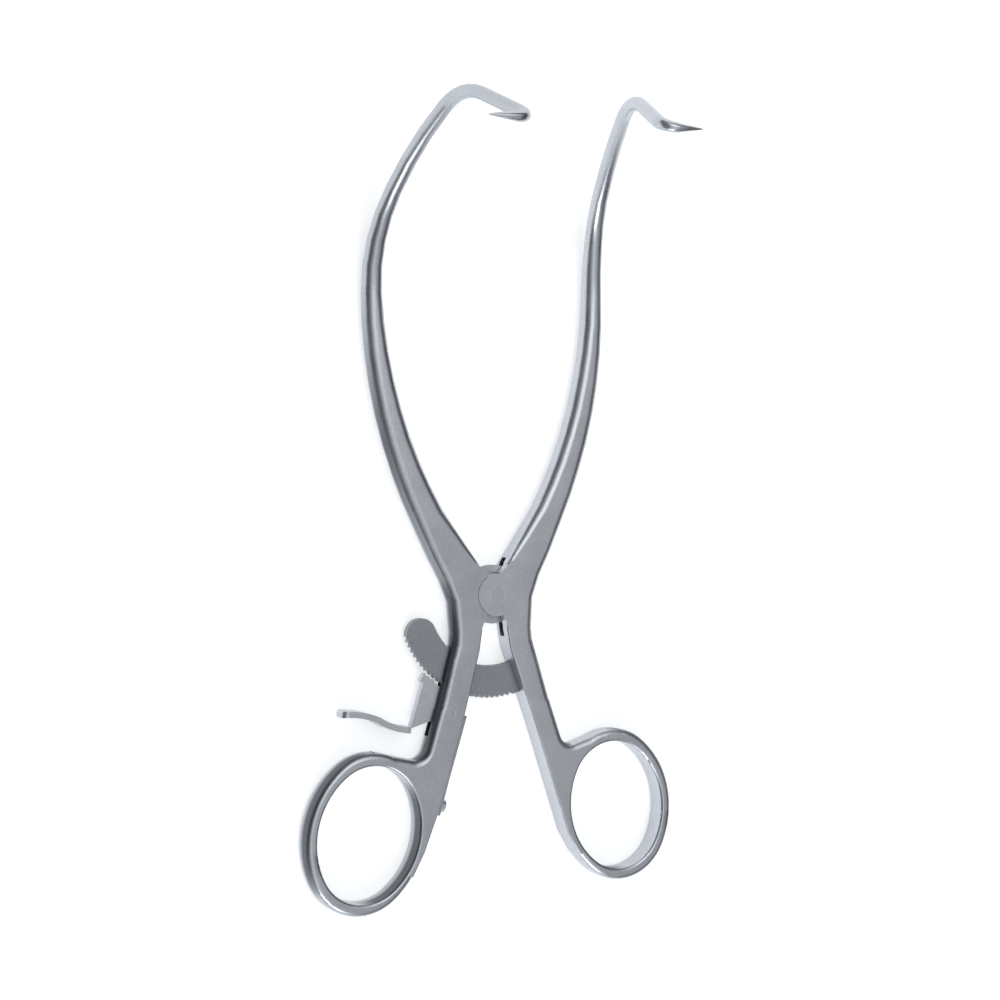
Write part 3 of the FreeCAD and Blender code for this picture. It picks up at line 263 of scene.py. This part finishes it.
def studio_tent():
    """A tent of light: grey overhead, a little brighter straight up, with dark walls left and right."""
    world = bpy.data.worlds.new("studio")
    world.use_nodes = True
    tree = world.node_tree
    direction = add_node(tree, "ShaderNodeTexCoord")
    parts = add_node(tree, "ShaderNodeSeparateXYZ", None, {"Vector": direction.outputs["Generated"]})
    angle = add_node(tree, "ShaderNodeMath", {"operation": "ARCTAN2"},
                     {0: parts.outputs["X"], 1: parts.outputs["Z"]})
    share = add_node(tree, "ShaderNodeMapRange", {"From Min": -math.pi / 2, "From Max": math.pi / 2},
                     {"Value": angle.outputs[0]})
    tent = add_node(tree, "ShaderNodeValToRGB", None, {"Fac": share.outputs["Result"]})
    elements = tent.color_ramp.elements
    for degrees, _ in TENT[1:-1]:
        elements.new((degrees + 90) / 180)
    for element, (_, level) in zip(elements, TENT):
        element.color = (*(level * tint for tint in TENT_TINT), 1)
    background = tree.nodes["Background"]
    background.inputs["Strength"].default_value = TENT_STRENGTH
    tree.links.new(tent.outputs["Color"], background.inputs["Color"])
    return world


def softbox(name, place_mm, size_mm, power):
    """A rectangular lamp at a place, aimed at the object. Its power is in watts."""
    lamp = bpy.data.lights.new(name, "AREA")
    lamp.shape = "RECTANGLE"
    lamp.size, lamp.size_y = (side * MM for side in size_mm)
    lamp.energy = power
    holder = add_object(name, lamp)
    holder.location = Vector(place_mm) * MM
    aim = (Vector(LAMPS_AIM) - Vector(place_mm)).normalized()
    holder.rotation_euler = aim.to_track_quat("-Z", "Y").to_euler()


# Both limbs are forged stainless steel, ground and finished satin by hand. To the eye they are a soft grey,
# a little cloudy, with broad highlights, lighter along rubbed edges, partly wear and partly painted
# highlight, and with painted shade on the walls facing outward.
# The real grain is about 0.1 mm and is drawn coarser in every finish here, so that it shows.
# The left limb's colour is a shade darker than the right limb's: painted shade on the same steel
LEFT_STEEL = satin_steel("satin stainless steel, left limb", "#bcc0c6",
                         roughness=0.30, grit_mm=0.5, depth=0.25, side=LEFT)
RIGHT_STEEL = satin_steel("satin stainless steel, right limb", "#c6cad0",
                          roughness=0.30, grit_mm=0.5, depth=0.25, side=RIGHT)

# The lever, the screw and the rivets have the same satin finish all round: an even light grey
SATIN = satin_steel("satin stainless steel", "#c3c7cd", roughness=0.32, grit_mm=0.5, depth=0.25)

# The rack is stainless steel blasted with beads once its teeth are cut: matt and darker, with painted shade
# about its teeth and where the shanks rise beside it
BLASTED = satin_steel("bead blasted stainless steel", "#9ca0a6",
                      roughness=0.42, grit_mm=0.4, depth=0.5, corner_shade=0.5, reach_mm=8)

# The spring is rolled and tempered strip: smoother and a little darker than the limbs, and it shines more
SPRING = satin_steel("tempered spring steel strip", "#a9adb3", roughness=0.28, grit_mm=0.4, depth=0.2)

# The pins are turned and ground flush: their ends match the limbs, and painted shade makes a thin dark ring
# at their rims
PINS = satin_steel("turned stainless steel pin", "#c1c5cb",
                   roughness=0.34, grit_mm=0.3, depth=0.2, rim=0.85)

FINISH = {
    "left_limb": LEFT_STEEL,
    "right_limb": RIGHT_STEEL,
    "ratchet_rack": BLASTED,
    "leaf_spring": SPRING,
    "lever_pin": PINS,
    "pivot_pin": PINS,
}
for name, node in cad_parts.items():
    node.data.materials.clear()
    node.data.materials.append(FINISH.get(name, SATIN))

smooth_over = smoothing()
for name in ("left_limb", "right_limb"):
    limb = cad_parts[name]
    limb.modifiers.new("join and smooth", "NODES").node_group = smooth_over
    flats = limb.modifiers.new("keep the flats flat", "WEIGHTED_NORMAL")
    flats.keep_sharp = True

# The photograph looks down on the front face from the left, a little over 28 degrees off square
camera_data = bpy.data.cameras.new("camera")
camera_data.sensor_width = SENSOR_WIDTH
camera_data.lens = FOCAL_LENGTH
camera_data.clip_start = 10 * MM
camera = add_object("camera", camera_data)
turn = Matrix((CAMERA_RIGHT, CAMERA_UP, CAMERA_BACK)).transposed().to_4x4()
camera.matrix_world = Matrix.Translation(CAMERA_SPOT * MM) @ turn
bpy.context.scene.camera = camera

floor_mesh = bpy.data.meshes.new("floor")
floor_corners = [(x * FLOOR_HALF, y * FLOOR_HALF, 0) for x, y in ((-1, -1), (1, -1), (1, 1), (-1, 1))]
floor_mesh.from_pydata(floor_corners, [], [(0, 1, 2, 3)])
floor_mesh.materials.append(pale_floor_paint())
floor = add_object("floor", floor_mesh)
floor.location.z = -FLOOR_DROP * MM

bpy.context.scene.world = studio_tent()
softbox("key softbox", place_mm=(120, 500, 1100), size_mm=(900, 900), power=2.0)
softbox("low softbox", place_mm=(-250, -900, 500), size_mm=(600, 400), power=3.0)

bpy.context.scene.view_settings.view_transform = "Standard"
